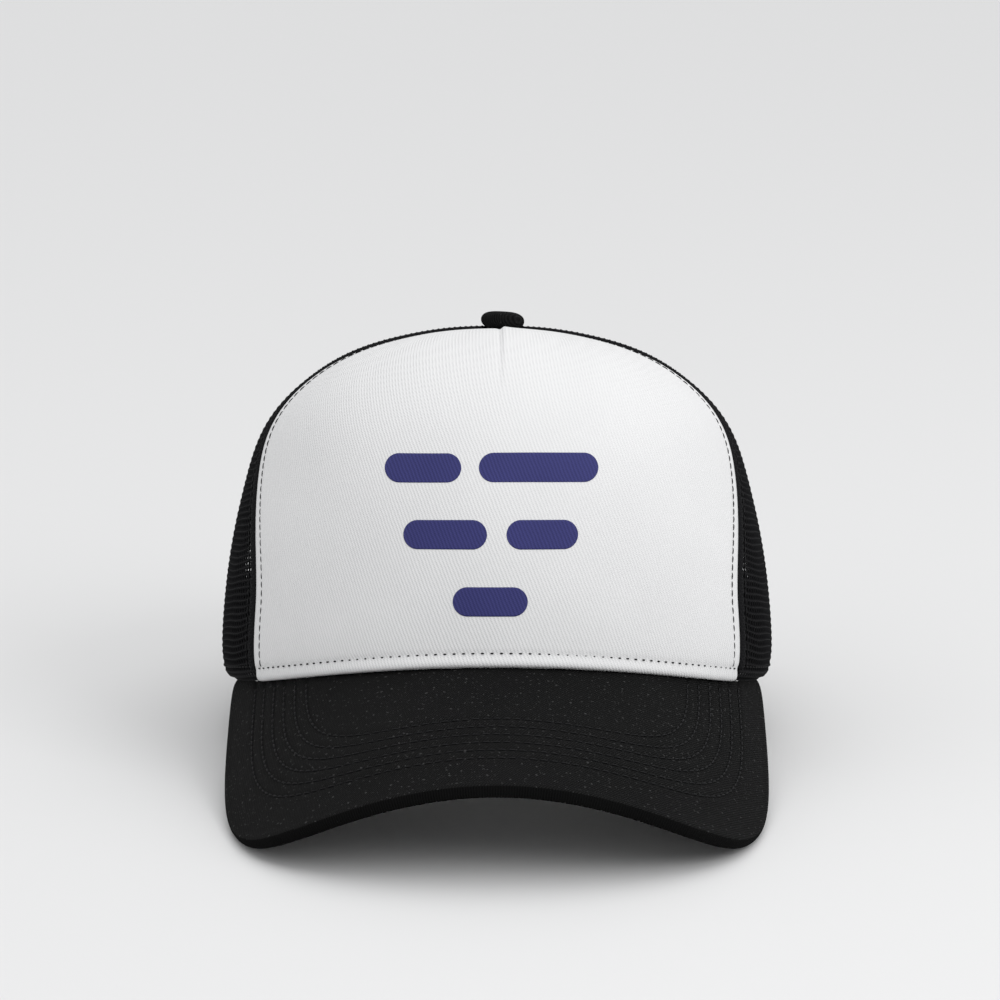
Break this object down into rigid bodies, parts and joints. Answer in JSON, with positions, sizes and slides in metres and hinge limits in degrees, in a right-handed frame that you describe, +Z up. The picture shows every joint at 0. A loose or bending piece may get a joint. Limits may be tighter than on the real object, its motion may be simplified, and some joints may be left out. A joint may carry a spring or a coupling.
{
  "type": "trucker mesh cap",
  "caption": "Trucker cap with a twill front panel, knitted mesh sides and back, a bent stitched visor and snap straps across an arched rear opening.",
  "frame": {"origin": "centre of the bounding box's underside, on the surface that the cap stands on", "axes": "+Z up, the visor points along -Y, +X is the wearer's left"},
  "size_m": [0.1832, 0.2585, 0.1375],
  "materials": {
    "white_twill": "woven twill",
    "lining": "stiffened woven lining",
    "black_mesh": "open knitted mesh",
    "black_tape": "woven tape",
    "sweatband_cloth": "brushed cotton",
    "black_twill": "woven twill",
    "board": "moulded sheet",
    "black_thread": "twisted thread",
    "button_metal": "pressed",
    "print_ink": "flat transfer",
    "label_cloth": "woven label",
    "strap_plastic": "satin moulded"
  },
  "bodies": {
    "cap": {"front_panel": "white_twill", "front_backing": "lining", "left_side_mesh": "black_mesh", "right_side_mesh": "black_mesh", "left_rear_mesh": "black_mesh", "right_rear_mesh": "black_mesh", "left_front_seam_tape": "black_tape", "right_front_seam_tape": "black_tape", "left_rear_seam_tape": "black_tape", "right_rear_seam_tape": "black_tape", "centre_rear_seam_tape": "black_tape", "rear_arch_binding": "black_tape", "sweatband": "sweatband_cloth", "visor_top_cover": "black_twill", "visor_board": "board", "visor_under_cover": "black_twill", "visor_stitching": "black_thread", "front_seam_stitching": "black_thread", "hem_stitching": "black_thread", "button_cover": "black_twill", "button_core": "button_metal", "button_rivet": "button_metal", "front_print": "print_ink", "care_label": "label_cloth", "hole_strap_root": "strap_plastic", "peg_strap_root": "strap_plastic", "strap_stitching": "black_thread"},
    "outer_strap": {"hole_strap": "strap_plastic"},
    "inner_strap": {"peg_strap": "strap_plastic"}
  },
  "joints": [
    {"name": "outer_strap_flex", "type": "hinge", "parent": "cap", "child": "outer_strap", "pos_m": [0.0378, 0.11483, 0.01263], "axis": [0, -0.1977, -0.9803], "range_deg": [0, 60], "stiffness_Nm_per_rad": 0.02},
    {"name": "inner_strap_flex", "type": "hinge", "parent": "cap", "child": "inner_strap", "pos_m": [-0.03698, 0.11348, 0.0129], "axis": [0, -0.1977, -0.9803], "range_deg": [0, 30], "stiffness_Nm_per_rad": 0.02}
  ]
}
